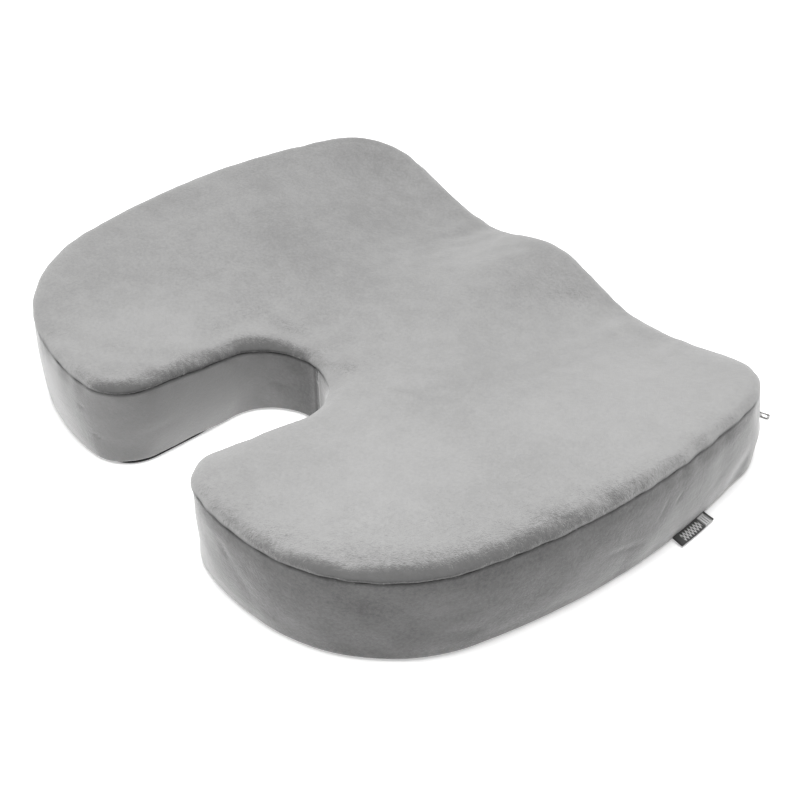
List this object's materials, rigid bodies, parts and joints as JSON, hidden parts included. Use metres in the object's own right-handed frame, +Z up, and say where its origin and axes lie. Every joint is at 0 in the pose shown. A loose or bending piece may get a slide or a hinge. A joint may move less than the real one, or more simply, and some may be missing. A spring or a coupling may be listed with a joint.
{
  "type": "seat cushion",
  "caption": "Contoured foam seat cushion with a U-shaped tailbone cut-out, in a zipped velour cover with a thigh-grooved front edge and a side label.",
  "frame": {"origin": "middle of the flat underside, on the surface that the cushion lies on", "axes": "+X to the sitter's right, +Y to the front edge with the thigh grooves and the zip, +Z up from the seat; the cut-out opens towards -Y"},
  "size_m": [0.4583, 0.3625, 0.0699],
  "materials": {
    "velour": "matte",
    "base_fabric": "matte",
    "foam": "matte",
    "thread": "matte",
    "zip_tape": "matte",
    "zip_coil": "satin",
    "zip_metal": "satin",
    "label": "matte"
  },
  "bodies": {
    "cushion": {"foam_core": "foam", "cover_top_panel": "velour", "boxing_left": "velour", "boxing_right": "velour", "boxing_front_upper": "velour", "boxing_front_lower": "velour", "base_panel": "base_fabric", "top_seam_thread": "thread", "base_seam_thread": "thread", "slot_seam_thread": "thread", "front_left_seam_thread": "thread", "front_right_seam_thread": "thread", "zip_thread_upper": "thread", "zip_thread_lower": "thread", "zip_tape_upper": "zip_tape", "zip_tape_lower": "zip_tape", "zip_coil_upper": "zip_coil", "zip_coil_lower": "zip_coil", "zip_closed_stop_upper": "zip_metal", "zip_closed_stop_lower": "zip_metal", "zip_open_stop": "zip_metal", "side_label": "label"},
    "zip_slider": {"zip_slider_body": "zip_metal"},
    "zip_pull": {"zip_pull_tab": "zip_metal"}
  },
  "joints": [
    {"name": "zip_slide", "type": "slide", "parent": "cushion", "child": "zip_slider", "axis": [-1, 0, 0], "range_m": [0, 0.326]},
    {"name": "zip_pull_swing", "type": "hinge", "parent": "zip_slider", "child": "zip_pull", "pos_m": [0.17, 0.1771, 0.0115], "axis": [0, 0, 1], "range_deg": [-18, 162]}
  ]
}
